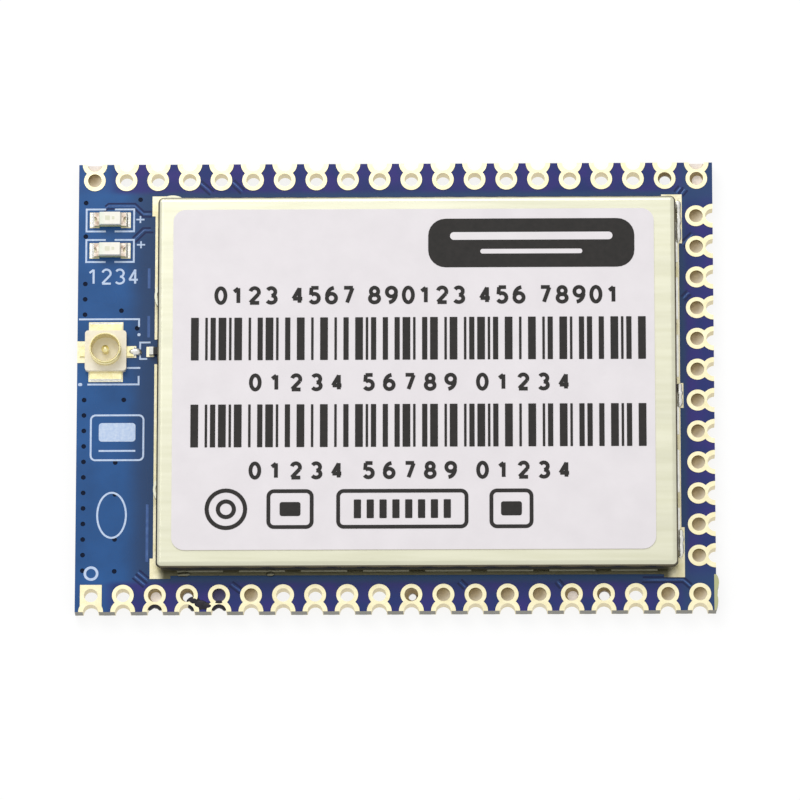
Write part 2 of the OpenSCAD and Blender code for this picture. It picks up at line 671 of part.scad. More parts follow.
module socket_middle_contact() color("#e6c66a") at_socket() {
    pin_top = socket_h - pin_below;
    linear_extrude(socket_t) {
        circle(0.45*socket_r);
        translate([0, -tail_w/2]) square([socket_w/2 + tail_out, tail_w]);
    }
    rotate_extrude() polygon([
        [0, 0], [pin_d/2, 0], [pin_d/2, pin_top - 0.3*pin_d], [0.15*pin_d, pin_top], [0, pin_top]]);
}
// The moulding fills the square round the ring, the floor inside it and the slot over the tail
module socket_moulding() color("#efe9cf") at_socket() difference() {
    linear_extrude(socket_base_h) round_rect([socket_w, socket_w], socket_corner_r);
    // the seats of the ring contact and of the middle contact
    translate([0, 0, -over]) linear_extrude(over + socket_t) {
        difference() {
            union() {
                circle(socket_r);
                square([leg_w, 2*socket_w], center = true);
                translate([-2*socket_w, -tail_w/2]) square([2*socket_w, tail_w]);
            }
            circle(0.55*socket_r);
            translate([0, -0.8*tail_w]) square([socket_w, 1.6*tail_w]);
        }
        circle(0.45*socket_r);
        translate([0, -tail_w/2]) square([socket_w, tail_w]);
    }
    cylinder(d = pin_d, h = over + socket_base_h);
    difference() {
        cylinder(r = socket_r, h = over + socket_base_h);
        translate([0, 0, -over]) cylinder(r = socket_r - socket_t, h = 3*over + socket_base_h);
        translate([0, -0.8*tail_w, -over]) cube([socket_w, 1.6*tail_w, over + socket_base_h]);
    }
    // the floor inside the ring lies lower than the square round it
    translate([0, 0, 0.75*socket_base_h]) cylinder(r = socket_r - socket_t, h = over);
}
module socket_solder() color("#e9e6d6") at_socket() {
    for (s = [0, 180]) rotate(s) translate([0, socket_w/2 + leg_out, 0])
        fillet(leg_w, 1.5*land_room, socket_t);
    rotate(-90) translate([0, socket_w/2 + tail_out, 0]) fillet(tail_w, 1.5*land_room, socket_t);
}

// ---------- chips under the shield ----------

module ball_places() {
    first = -(balls - 1)/2*ball_pitch;
    // three rows of balls run round a bare middle
    for (i = [0:balls - 1], j = [0:balls - 1])
        if (min(i, j, balls - 1 - i, balls - 1 - j) < 3)
            translate([first + i*ball_pitch, first + j*ball_pitch]) children();
}
module processor_package() color("#26272a") at_place(processor_at) {
    carrier = 0.3*processor_h;
    difference() {
        union() {
            translate([0, 0, ball_h]) linear_extrude(carrier) square(processor_w, center = true);
            translate([0, 0, ball_h + carrier]) linear_extrude(processor_h - carrier)
                round_rect((processor_w - 0.4)*[1, 1], 0.4);
        }
        dot([-0.42*processor_w, 0.42*processor_w], ball_h + processor_h);
    }
}
module processor_balls() color("#c8c8c8") at_place(processor_at) ball_places()
    intersection() {
        translate([0, 0, ball_h/2]) sphere(d = ball_d, $fn = 24);
        translate([-ball_d, -ball_d, 0]) cube([2*ball_d, 2*ball_d, ball_h]);
    }
// Places of the memory's leads: the body's side at y = 0, +Y outwards
module memory_places() {
    first = -(memory_leads - 1)/2*memory_pitch;
    for (s = [90, -90], i = [0:memory_leads - 1])
        rotate(s) translate([first + i*memory_pitch, memory_w/2]) children();
}
module memory_body() color("#222325") at_place(memory_at) difference() {
    moulded_body([memory_w, memory_l, memory_h], standoff);
    dot([-0.38*memory_w, 0.44*memory_l], standoff + memory_h, 1);
    memory_places() memory_lead();
}
module memory_lead() gull_lead(0.4*memory_pitch, lead_reach, standoff + memory_h/2 + lead_t/2);
module memory_pins() color("#b9bab8") at_place(memory_at) memory_places() memory_lead();
// Contacts under a flat package: 4 along each short side of the flash chip,
// 3 along each side of the front end
module flash_places() {
    for (s = [-1, 1], i = [-1.5:1.5]) translate([s*(flash_l/2 - 0.25), i*flash_pitch]) children();
}
module flash_chip() color("#26272a") at_place(flash_at) difference() {
    translate([0, 0, flash_h/2]) cube([flash_l, flash_w, flash_h], center = true);
    dot([-0.38*flash_l, 0.36*flash_w], flash_h, 0.6);
    flash_places() contact();
}
module contact() cube([0.51, 0.4, 0.2], center = true);
module flash_contacts() color("#b9bab8") at_place(flash_at) intersection() {
    flash_places() contact();
    translate([0, 0, over/2]) cube([flash_l, flash_w, over], center = true);
}
module front_end_places() {
    for (s = [0:90:270], i = [-1:1])
        rotate(s) translate([front_end_w/2 - 0.2, i*0.25*front_end_w]) children();
}
module front_end_contact() cube([0.41, 0.24, 0.2], center = true);
module front_end_chip() color("#26272a") at_place(front_end_at) difference() {
    translate([0, 0, front_end_h/2]) cube([front_end_w, front_end_w, front_end_h], center = true);
    dot([-0.3*front_end_w, 0.3*front_end_w], front_end_h, 0.4);
    front_end_places() front_end_contact();
}
module front_end_contacts() color("#b9bab8") at_place(front_end_at) intersection() {
    front_end_places() front_end_contact();
    translate([0, 0, over/2]) cube([front_end_w, front_end_w, over], center = true);
}
module crystal_base() color("#d8d2c0") at_place(crystal_at)
    linear_extrude(0.55*crystal_h) round_rect([crystal_l, crystal_w], 0.2);
module crystal_lid() color("#cfd0cc") at_place(crystal_at) translate([0, 0, 0.55*crystal_h])
    linear_extrude(0.45*crystal_h) round_rect([crystal_l - 0.3, crystal_w - 0.3], 0.3);
module power_coils() color("#3a3a3d") at_places(coils_at) difference() {
    linear_extrude(coil_h) round_rect([coil_w, coil_w], 0.3);
    power_coil_end();
}
module power_coil_end() for (s = [-1, 1])
    translate([s*0.375*coil_w, 0, 0]) cube([0.25*coil_w, 0.8*coil_w, 0.2], center = true);
module power_coil_ends() color("#d2d2ce") at_places(coils_at) intersection() {
    power_coil_end();
    translate([0, 0, over/2]) cube([coil_w, coil_w, over], center = true);
}
// Three leads on one side of a converter and two on the other
module converter_places() {
    for (x = [-converter_pitch, 0, converter_pitch]) translate([x, -converter_w/2 - 0.45]) children();
    for (x = [-converter_pitch, converter_pitch]) translate([x, converter_w/2 + 0.45]) children();
}
module converter_lead_set() {
    for (x = [-converter_pitch, 0, converter_pitch])
        rotate(180) translate([x, converter_w/2, 0]) converter_lead();
    for (x = [-converter_pitch, converter_pitch]) translate([x, converter_w/2, 0]) converter_lead();
}
module converter_lead() gull_lead(0.4, 0.6, standoff + converter_h/2 + lead_t/2);
module converter_bodies() color("#222325") at_places(converters_at) difference() {
    moulded_body([converter_l, converter_w, converter_h], standoff);
    converter_lead_set();
}
module converter_leads() color("#b9bab8") at_places(converters_at) converter_lead_set();
module capacitor_bodies() color("#b49a78") at_places(capacitors_at)
    chip_middle(chip_l, chip_w, capacitor_h, end_cap);
module capacitor_ends() color("#d2d2ce") at_places(capacitors_at)
    chip_ends(chip_l, chip_w, capacitor_h, end_cap);
module resistor_bodies() color("#222325") at_places(resistors_at)
    chip_middle(chip_l, chip_w, resistor_h, end_cap);
module resistor_ends() color("#d2d2ce") at_places(resistors_at)
    chip_ends(chip_l, chip_w, resistor_h, end_cap);

pcb_board();
pads_top_row();
pads_bottom_row();
pads_right_column();
pad_pin_one();
shield_land();
shield_frame();
shield_cover();
shield_solder();
label();
component_lands();
lamp_carriers();
lamp_terminals();
lamp_lenses();
lamp_solder();
socket_moulding();
socket_ring_contact();
socket_middle_contact();
socket_solder();
line_part_body();
line_part_ends();
processor_package();
processor_balls();
memory_body();
memory_pins();
flash_chip();
flash_contacts();
front_end_chip();
front_end_contacts();
crystal_base();
crystal_lid();
power_coils();
power_coil_ends();
converter_bodies();
converter_leads();
capacitor_bodies();
capacitor_ends();
resistor_bodies();
resistor_ends();
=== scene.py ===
"""Looks of a shielded radio module: its finishes, its print, and the trim too fine for the solids.

Lengths are in millimetres until they reach a mesh, a lamp or the camera, which take metres.
The origin is under the middle of the board, with the board's long side along X.
"""
from math import cos, pi, radians, sin

import bmesh
import bpy
import numpy as np
from mathutils import Matrix, Vector


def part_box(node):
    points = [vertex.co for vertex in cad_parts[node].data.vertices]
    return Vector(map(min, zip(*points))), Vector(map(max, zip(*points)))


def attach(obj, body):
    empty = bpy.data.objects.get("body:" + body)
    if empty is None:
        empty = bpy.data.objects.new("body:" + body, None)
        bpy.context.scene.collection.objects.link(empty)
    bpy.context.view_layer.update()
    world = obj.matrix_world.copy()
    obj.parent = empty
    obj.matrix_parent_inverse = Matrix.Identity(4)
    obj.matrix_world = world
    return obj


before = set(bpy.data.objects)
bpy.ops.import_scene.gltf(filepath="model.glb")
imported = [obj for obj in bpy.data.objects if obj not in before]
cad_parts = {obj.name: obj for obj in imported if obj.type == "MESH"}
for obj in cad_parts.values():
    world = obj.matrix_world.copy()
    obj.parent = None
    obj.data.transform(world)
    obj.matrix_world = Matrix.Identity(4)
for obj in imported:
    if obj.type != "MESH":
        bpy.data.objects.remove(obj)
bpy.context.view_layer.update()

MM = 0.001


# ---------------------------------------------------------------- places read from the frame

def corners(node):
    """A node's lowest and highest corner, in millimetres."""
    return [np.array(corner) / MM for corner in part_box(node)]


board_low, board_high = corners("pcb_board")
label_low, label_high = corners("label")
cover_low, cover_high = corners("shield_cover")
socket_low, socket_high = corners("socket_moulding")
lamp_low, lamp_high = corners("lamp_lenses")

face = board_high[2]                    # top of the solder mask
edge_x = -board_low[0]                  # half the board's length, without the snapped tab
edge_y = board_high[1]                  # half its width
pitch = 2.0                             # from pad to pad
inset = 1.05                            # hole centres to the board's edge
row_count = 20
column_count = 12
row_x = -edge_x + pitch / 2 + pitch * np.arange(row_count)
column_y = pitch * (np.arange(column_count) - (column_count - 1) / 2)
row_y = edge_y - inset
column_x = edge_x - inset
hole_r = 0.43
notch_r = 0.47                          # the half holes on the edge
ink = 0.014                             # how proud silkscreen and label print stand
lamp_x = -18.0                          # middle of the chip lamps
lamp_rows = (10.85, 8.85)


# ---------------------------------------------------------------- surfaces

def skin(rings):
    """A closed surface through a stack of closed rings, an array (rings, points, 3).
    Each end is closed by a fan to the mean of its ring."""
    rings = np.asarray(rings, float)
    first = np.repeat(rings[:1].mean(1, keepdims=True), rings.shape[1], 1)
    last = np.repeat(rings[-1:].mean(1, keepdims=True), rings.shape[1], 1)
    return np.concatenate([first, rings, last])


def piece(name, skins, look):
    """One object from many skins: neighbouring points of neighbouring rings span a four-sided face,
    and the points that meet at a pole are merged."""
    points, faces, start = [], [], 0
    for grid in skins:
        rows, columns = grid.shape[:2]
        index = start + np.arange(rows * columns).reshape(rows, columns)
        beside = np.roll(index, -1, 1)
        faces.append(np.stack([index[:-1], beside[:-1], beside[1:], index[1:]], -1).reshape(-1, 4))
        points.append(grid.reshape(-1, 3))
        start += rows * columns
    mesh = bpy.data.meshes.new(name)
    mesh.from_pydata(np.concatenate(points) * MM, [], np.concatenate(faces).tolist())
    solid = bmesh.new()
    solid.from_mesh(mesh)
    bmesh.ops.remove_doubles(solid, verts=solid.verts, dist=2e-8)
    bmesh.ops.recalc_face_normals(solid, faces=solid.faces)
    solid.to_mesh(mesh)
    solid.free()
    mesh.shade_smooth()
    mesh.set_sharp_from_angle(angle=radians(35))
    mesh.materials.append(look)
    shown = bpy.data.objects.new(name, mesh)
    bpy.context.scene.collection.objects.link(shown)
    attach(shown, "root")


def arc(centre, radii, start, stop, steps=12):
    """Points on an ellipse's arc: the centre plus each radius times the cosine or sine of the angle."""
    angle = np.radians(np.linspace(start, stop, steps + 1))
    return np.stack([centre[0] + radii[0] * np.cos(angle), centre[1] + radii[1] * np.sin(angle)], -1)


def ribbon(path, width, low, high, closed=False):
    """A flat strip of even width along a path: each point is moved out by half the width along the
    mean of its two neighbours' normals, lengthened so that corners stay mitred."""
    path = np.asarray(path, float)
    if closed:
        path = np.concatenate([path, path[:1]])
    step = np.diff(path, axis=0)
    step /= np.linalg.norm(step, axis=1, keepdims=True)
    ahead = np.concatenate([step, step[:1] if closed else step[-1:]])
    behind = np.concatenate([step[-1:] if closed else step[:1], step])
    side = ahead + behind
    side = np.stack([-side[:, 1], side[:, 0]], -1)
    side /= np.linalg.norm(side, axis=1, keepdims=True)
    square = np.stack([-ahead[:, 1], ahead[:, 0]], -1)
    side *= width / 2 / np.maximum((side * square).sum(1, keepdims=True), 0.5)
    level = np.ones((len(path), 1))
    rings = np.stack([np.hstack([path - side, level * low]), np.hstack([path + side, level * low]),
                      np.hstack([path + side, level * high]), np.hstack([path - side, level * high])], 1)
    return rings if closed else skin(rings)


def outline(width, height, radius, steps=6):
    """A rectangle with rounded corners round the origin: four quarter arcs, joined by straight sides."""
    x, y = width / 2 - radius, height / 2 - radius
    quarters = [arc((x * a, y * b), (radius, radius), turn, turn + 90, steps)
                for a, b, turn in ((1, 1, 0), (-1, 1, 90), (-1, -1, 180), (1, -1, 270))]
    return np.concatenate(quarters)


def slab(shape, centre, low, high, round_off=0.0):
    """A plate with that outline. round_off draws the top ring in, for a soft upper edge."""
    shape = np.asarray(shape, float)
    drawn_in = shape * (1 - round_off / np.abs(shape).max())
    rings = [(shape, low), (shape, high - round_off), (drawn_in, high)]
    if not round_off:
        rings = rings[:2]
    return skin([np.hstack([ring + centre, np.full((len(ring), 1), z)]) for ring, z in rings])


def dome(centre, radii, low, height, waves=0.0, seed=0, rings=7, steps=28):
    """A drop: rings shrink by the cosine while they rise by the sine of one angle. Each ring's radius
    is stretched by a few waves round it, so that no two drops are alike."""
    turn = np.linspace(0, 2 * pi, steps, endpoint=False)
    rise = np.linspace(0, 0.94 * pi / 2, rings)
    wave = np.sin(2 * turn + seed) + 0.6 * np.sin(3 * turn + 2.1 * seed) + 0.4 * np.sin(5 * turn - seed)
    wave = 1 + waves * wave
    across = np.cos(rise)[:, None] * wave[None]
    x = centre[0] + radii[0] * across * np.cos(turn)
    y = centre[1] + radii[1] * across * np.sin(turn)
    z = np.repeat(low + height * np.sin(rise)[:, None], steps, 1)
    return skin(np.stack([x, y, z], -1))


def bead(path, width, height, low, waves=0.0, seed=0, sides=10):
    """A rounded ridge along a path: half an ellipse carried along it, thinner towards both ends and
    made uneven by two waves along its length."""
    path = np.asarray(path, float)
    along = np.linspace(0, 1, 8 * (len(path) - 1) + 1)
    at = np.linspace(0, 1, len(path))
    line = np.stack([np.interp(along, at, path[:, 0]), np.interp(along, at, path[:, 1])], -1)
    step = np.gradient(line, axis=0)
    step /= np.linalg.norm(step, axis=1, keepdims=True)
    side = np.stack([-step[:, 1], step[:, 0]], -1)
    swell = np.sqrt(np.clip(1 - (2 * along - 1) ** 8, 0.02, 1))
    swell = swell * (1 + waves * (np.sin(17 * along + seed) + 0.6 * np.sin(29 * along + 2 * seed)))
    turn = np.linspace(0, pi, sides)
    out = width / 2 * swell[:, None] * np.cos(turn)
    up = height * swell[:, None] * np.sin(turn)
    x = line[:, None, 0] + side[:, None, 0] * out
    y = line[:, None, 1] + side[:, None, 1] * out
    return skin(np.stack([x, y, low + up], -1))


# ---------------------------------------------------------------- materials

def linear(code):
    """An sRGB hex colour as linear red, green and blue, with 1 for alpha."""
    shade = np.array([int(code[i:i + 2], 16) for i in (1, 3, 5)]) / 255
    shade = np.where(shade <= 0.04045, shade / 12.92, ((shade + 0.055) / 1.055) ** 2.4)
    return (*shade.tolist(), 1.0)


def add(tree, kind, inputs=None, stops=None, **settings):
    """Adds one node. inputs gives a value or another node's output for each input, by name or number,
    stops the places and colours of a ramp, and settings its other properties."""
    node = tree.nodes.new("ShaderNode" + kind)
    for name, value in settings.items():
        setattr(node, name, value)
    for name, value in (inputs or {}).items():
        if isinstance(value, bpy.types.NodeSocket):
            tree.links.new(value, node.inputs[name])
        else:
            node.inputs[name].default_value = value
    for number, (place, code) in enumerate(stops or ()):
        ends = node.color_ramp.elements
        stop = ends[number] if number < 2 else ends.new(place)
        stop.position, stop.color = place, linear(code)
    return node.outputs


def surface(name, tints, grain, relief, rough, stretch=(1, 1, 1), **shader):
    """A finish of its own name: two close tints in clouds of `grain` millimetres, roughness between
    the two values of `rough` over clouds four times as wide, and bumps `relief` millimetres deep at
    a third of the grain. stretch is how many times longer the grain is along each axis."""
    look = bpy.data.materials.new(name)
    look.use_nodes = True
    tree = look.node_tree
    main = tree.nodes["Principled BSDF"]
    for socket, value in shader.items():
        main.inputs[socket.replace("_", " ")].default_value = value
    place = add(tree, "TexCoord")["Object"]
    place = add(tree, "Mapping", {0: place, "Scale": [1 / s for s in stretch]})[0]
    clouds = add(tree, "TexNoise", {0: place, "Scale": 1 / (grain * MM), "Detail": 4.0})[0]
    broad = add(tree, "TexNoise", {0: place, "Scale": 0.25 / (grain * MM), "Detail": 2.0})[0]
    fine = add(tree, "TexNoise", {0: place, "Scale": 3 / (grain * MM), "Detail": 3.0})[0]
    tint = add(tree, "ValToRGB", {0: clouds}, [(0.3, tints[0]), (0.7, tints[1])])[0]
    gloss = add(tree, "MapRange", {0: broad, 1: 0.3, 2: 0.7, 3: rough[0], 4: rough[1]})[0]
    bump = add(tree, "Bump", {"Height": fine, "Distance": relief * MM, "Strength": 1.0})[0]
    tree.links.new(tint, main.inputs["Base Color"])
    tree.links.new(gloss, main.inputs["Roughness"])
    tree.links.new(bump, main.inputs["Normal"])
    return look


def recolour(look, change):
    """Runs the finish's own colour through change(tree, colour), which gives back a new colour."""
    tree = look.node_tree
    socket = tree.nodes["Principled BSDF"].inputs["Base Color"]
    tree.links.new(change(tree, socket.links[0].from_socket), socket)


def blend_colour(tree, share, below, above):
    """below where share is 0, above where it is 1."""
    return add(tree, "Mix", {0: share, 6: below, 7: above}, data_type="RGBA")[2]


def upright_share(tree):
    """1 on faces steeper than about 45 degrees, 0 on flatter ones."""
    height = add(tree, "SeparateXYZ", {0: add(tree, "NewGeometry")["Normal"]})[2]
    height = add(tree, "Math", {0: height}, operation="ABSOLUTE")[0]
    return add(tree, "Math", {0: height, 1: 0.7}, operation="LESS_THAN")[0]


def board_zones(tree, colour):
    """The mask is violet over the bare laminate round the pads, less so at the board's corners, and on
    the upper side it is darker in the strip beside the can. The snapped tab is bare glass-epoxy. On
    upright faces the laminate itself shows, in layers of glass cloth."""
    place = add(tree, "TexCoord")["Object"]
    x, y, z = (add(tree, "SeparateXYZ", {0: place})[axis] for axis in range(3))
    off_x, off_y = (add(tree, "Math", {0: side}, operation="ABSOLUTE")[0] for side in (x, y))

    rim_y = add(tree, "Math", {0: off_y, 1: (row_y - 0.95) * MM}, operation="SUBTRACT")[0]
    rim_x = add(tree, "Math", {0: x, 1: (column_x - 0.85) * MM}, operation="SUBTRACT")[0]
    rim = add(tree, "Math", {0: rim_y, 1: rim_x}, operation="MAXIMUM")[0]
    rim = add(tree, "MapRange", {0: rim, 1: -0.1 * MM, 2: 0.35 * MM}, interpolation_type="SMOOTHSTEP")[0]
    patches = add(tree, "TexNoise", {0: place, "Scale": 1 / (1.4 * MM), "Detail": 1.0})[0]
    violet = add(tree, "ValToRGB", {0: patches}, [(0.35, "#142a6c"), (0.65, "#2b2675")])[0]

    beside_can = add(tree, "MapRange", {0: x, 1: -17.2 * MM, 2: -15.7 * MM, 4: 0.8},
                     interpolation_type="SMOOTHSTEP")[0]
    upper_side = add(tree, "Math", {0: z, 1: face / 2 * MM}, operation="GREATER_THAN")[0]
    beside_can = add(tree, "Math", {0: beside_can, 1: upper_side}, operation="MULTIPLY")[0]
    colour = blend_colour(tree, beside_can, colour, linear("#1c3a63"))

    near_end, near_side = (
        add(tree, "MapRange", {0: off, 1: start * MM, 2: stop * MM}, interpolation_type="SMOOTHSTEP")[0]
        for off, start, stop in ((off_x, 17.2, 18.4), (off_y, 11.2, 12.6)))
    corner = add(tree, "Math", {0: near_end, 1: near_side}, operation="MULTIPLY")[0]
    kept = add(tree, "MapRange", {0: corner, 3: 1.0, 4: 0.15})[0]
    rim = add(tree, "Math", {0: rim, 1: kept}, operation="MULTIPLY")[0]
    colour = blend_colour(tree, rim, colour, violet)

    beyond = add(tree, "Math", {0: x, 1: (edge_x - 0.12) * MM}, operation="GREATER_THAN")[0]
    below = add(tree, "Math", {0: y, 1: -12.2 * MM}, operation="LESS_THAN")[0]
    tab = add(tree, "Math", {0: beyond, 1: below}, operation="MULTIPLY")[0]
    colour = blend_colour(tree, tab, colour, linear("#b9bb8c"))

    layers = add(tree, "TexWave", {0: place, "Scale": 0.314 / (0.2 * MM), "Distortion": 3.0, "Detail": 2.0},
                 bands_direction="Z")[1]
    cloth = add(tree, "ValToRGB", {0: layers}, [(0.2, "#3a3722"), (0.8, "#656040")])[0]
    return blend_colour(tree, upright_share(tree), colour, cloth)


def flux_painted_shade(tree, colour):
    """Flux leans in its hole: brown where it is deep, at the upper left, and beige where it stands high. The
    change is painted shade, as if the hole's wall shaded the deep side.
    """
    height = add(tree, "SeparateXYZ", {0: add(tree, "TexCoord")["Object"]})[2]
    # thin is the share of painted light: 1 where the flux stands high, 0 where it lies deep in painted shade
    thin = add(tree, "MapRange", {0: height, 1: 0.79 * MM, 2: 0.93 * MM}, interpolation_type="SMOOTHSTEP")[0]
    return blend_colour(tree, thin, colour, linear("#d0c2a6"))


def plated_wall_painted_shade(tree, colour):
    """Painted shade: the plating on the walls of the holes and half holes is a browner gold, as if those walls
    stood in shade.
    """
    return blend_colour(tree, upright_share(tree), colour, linear("#ddd0a6"))


def can_wall_painted_shade(tree, colour):
    """The can's upright walls are darkened to taupe: painted shade and painted reflection, for the shade they
    stand in and the dark surroundings they mirror.
    """
    return blend_colour(tree, upright_share(tree), colour, linear("#645e50"))


def can_shadow_painted_on_land(tree, colour):
    """Painted shadow: along the can's lower side, between its corners, the land and joints are darkened, as if
    in the can's shadow.
    """
    place = add(tree, "TexCoord")["Object"]
    x, y = (add(tree, "SeparateXYZ", {0: place})[axis] for axis in range(2))
    low = add(tree, "MapRange", {0: y, 1: (cover_low[1] + 0.25) * MM, 2: (cover_low[1] + 0.1) * MM})[0]
    middle = (cover_low[0] + cover_high[0]) / 2
    off = add(tree, "Math", {0: x, 1: middle * MM}, operation="SUBTRACT")[0]
    off = add(tree, "Math", {0: off}, operation="ABSOLUTE")[0]
    between = add(tree, "MapRange", {0: off, 1: 15.7 * MM, 2: 16.1 * MM, 3: 0.92, 4: 0.0})[0]
    share = add(tree, "Math", {0: low, 1: between}, operation="MULTIPLY")[0]
    return blend_colour(tree, share, colour, linear("#56543f"))


def lens_tint(tree, colour):
    """A green cast at the lens's left end, from the phosphor round the die."""
    place = add(tree, "TexCoord")["Object"]
    x = add(tree, "SeparateXYZ", {0: place})[0]
    left = add(tree, "MapRange", {0: x, 1: (lamp_low[0] + 0.05) * MM, 2: (lamp_low[0] + 0.5) * MM,
                                  3: 0.35, 4: 0.0})[0]
    return blend_colour(tree, left, colour, linear("#c9e6c6"))


looks = {
    # Glossy solder mask over copper: deep blue, paler where the copper lies close under it.
    "solder_mask_laminate": surface("glossy_blue_solder_mask", ("#154a82", "#1b5593"), 2.2, 0.004,
                                    (0.22, 0.32), IOR=1.4),
    # Immersion gold over copper: pale cream gold with faint tarnish clouds.
    "gilt_land": surface("immersion_gold", ("#e8dfb4", "#f0e8c6"), 0.5, 0.004, (0.3, 0.42), Metallic=1.0),
    # Tinned and gilt copper under the can: the same gold, duller.
    "bare_land": surface("tinned_gilt_copper", ("#d8d0a8", "#e6dfc2"), 0.6, 0.008, (0.32, 0.5), Metallic=1.0),
    # Satin nickel silver sheet: warm pale metal whose rolling grain runs along the can.
    "nickel_silver_cover": surface("satin_nickel_silver", ("#d0cfb7", "#d7d6c1"), 0.35, 0.0012, (0.3, 0.4),
                                   stretch=(14, 1, 1), Metallic=1.0),
    # The frame inside it is the same sheet, unpolished and in shade.
    "nickel_silver_frame": surface("dull_nickel_silver", ("#8f8a74", "#a7a28a"), 0.3, 0.003, (0.4, 0.55),
                                   stretch=(6, 6, 1), Metallic=1.0),
    # Reflowed solder: bright and slightly wavy.
    "solder": surface("reflowed_solder", ("#d2d1ca", "#e8e7e1"), 0.4, 0.02, (0.24, 0.42), Metallic=1.0),
    # Coated paper label: matt white with a pink cast.
    "label_stock": surface("matt_coated_label", ("#e6e1e4", "#ebe6e9"), 1.6, 0.001, (0.5, 0.62), IOR=1.45),
    # Thin glass-epoxy under each lamp: dull green beige.
    "lamp_carrier": surface("thin_glass_epoxy", ("#9aa47a", "#b3ba92"), 0.25, 0.004, (0.4, 0.5)),
    # Tinned end terminals, browned at the bends.
    "lamp_terminal": surface("browned_tin_terminal", ("#967f6c", "#e6dcd0"), 0.3, 0.006,
                             (0.25, 0.45), Metallic=1.0),
    # Milky epoxy: cream, cloudy all through.
    "lamp_lens": surface("milky_epoxy_lens", ("#f7f3e6", "#fdfaf0"), 0.3, 0.003, (0.2, 0.3), IOR=1.5),
    # Liquid-crystal polymer: cream moulding with a satin skin.
    "socket_moulding": surface("cream_moulded_polymer", ("#f1e7cf", "#f7efdc"), 0.4, 0.004,
                               (0.38, 0.48), IOR=1.6),
    # Gold-plated spring bronze, deeper than the lands.
    "socket_gold": surface("gold_plated_bronze", ("#eadfa6", "#f2e9bc"), 0.3, 0.003,
                           (0.22, 0.32), Metallic=1.0),
    # Transfer-moulded epoxy of the chips: dark, even and matt.
    "black_moulding": surface("matt_black_moulding", ("#1b1b1d", "#262628"), 0.15, 0.006, (0.55, 0.7)),
    # Matt tin on pins and end caps: grey metal with a soft shine.
    "tin": surface("matt_tin", ("#b9b9b4", "#cfcfca"), 0.2, 0.004, (0.35, 0.5), Metallic=1.0),
    # Fired ceramic of the capacitors: dull tan.
    "ceramic_tan": surface("tan_fired_ceramic", ("#a98a62", "#b99a72"), 0.12, 0.004, (0.45, 0.6)),
    # Alumina of the resistors: chalky off-white.
    "ceramic_white": surface("white_alumina", ("#d6d0c0", "#e2ddcf"), 0.12, 0.004, (0.45, 0.6)),
    # Pressed ferrite of the coils: dark grey and grainy.
    "ferrite": surface("pressed_ferrite", ("#3a3a3c", "#48484a"), 0.1, 0.008, (0.5, 0.65)),
}
recolour(looks["solder_mask_laminate"], board_zones)
recolour(looks["gilt_land"], plated_wall_painted_shade)
recolour(looks["nickel_silver_cover"], can_wall_painted_shade)
recolour(looks["bare_land"], can_shadow_painted_on_land)
recolour(looks["solder"], can_shadow_painted_on_land)
recolour(looks["lamp_lens"], lens_tint)

# Screened epoxy ink: slightly blue white, thin enough to let the mask show at its edges.
silk_ink = surface("screened_white_ink", ("#b2c8ea", "#cddcf2"), 0.2, 0.004, (0.45, 0.6))
# Thermal-transfer print: warm near-black with a faint sheen.
print_ink = surface("thermal_transfer_print", ("#1d1b19", "#262321"), 0.3, 0.002, (0.45, 0.55), IOR=1.35)
# Flux left in the holes: brown resin, painted paler where it stands high and left brown where it lies deep, as
# painted shade from the hole's wall.
flux = surface("browned_flux", ("#927d56", "#a8956c"), 0.3, 0.006, (0.35, 0.5))
recolour(flux, flux_painted_shade)
# Paler flux with dust in it, in the corner pads' half holes.
pale_flux = surface("pale_flux", ("#e9dcd2", "#f5ece6"), 0.3, 0.006, (0.3, 0.45))
# Burnt residue: a blue black crust with a dull sheen.
residue = surface("burnt_residue", ("#12101c", "#26202c"), 0.3, 0.008, (0.3, 0.5), IOR=1.35)
# Resin stained violet by the mask it dissolved.
stained_resin = surface("stained_resin", ("#2f2b5c", "#3d3872"), 0.3, 0.006, (0.35, 0.5))
# Phosphor over the lamps' dies: a faint greenish yellow under the lens.
phosphor = surface("die_phosphor", ("#dcdcc0", "#e6e5cf"), 0.2, 0.003, (0.3, 0.4))
# Resin that plugs the small plated holes: the mask's blue, much darker.
plug_resin = surface("dark_via_resin", ("#050f26", "#091833"), 0.2, 0.004, (0.35, 0.45), IOR=1.2)
# Mask over the gap beside a track: no copper under it, so it is darker, and darker still with painted shade,
# as if the mask sank into a groove there.
gap_mask_and_shade = surface("mask_over_laminate_and_groove_shade", ("#07184a", "#0c2154"), 0.5, 0.003, (0.25, 0.35), IOR=1.35)
# Mask over a track: it catches the light along its rounded edge.
track_mask = surface("mask_over_track", ("#2f528f", "#4a6da8"), 0.5, 0.003, (0.22, 0.32), IOR=1.45)

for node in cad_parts.values():
    for holder in node.material_slots:
        holder.material = looks[holder.material.name.split(".")[0]]


# ---------------------------------------------------------------- label print

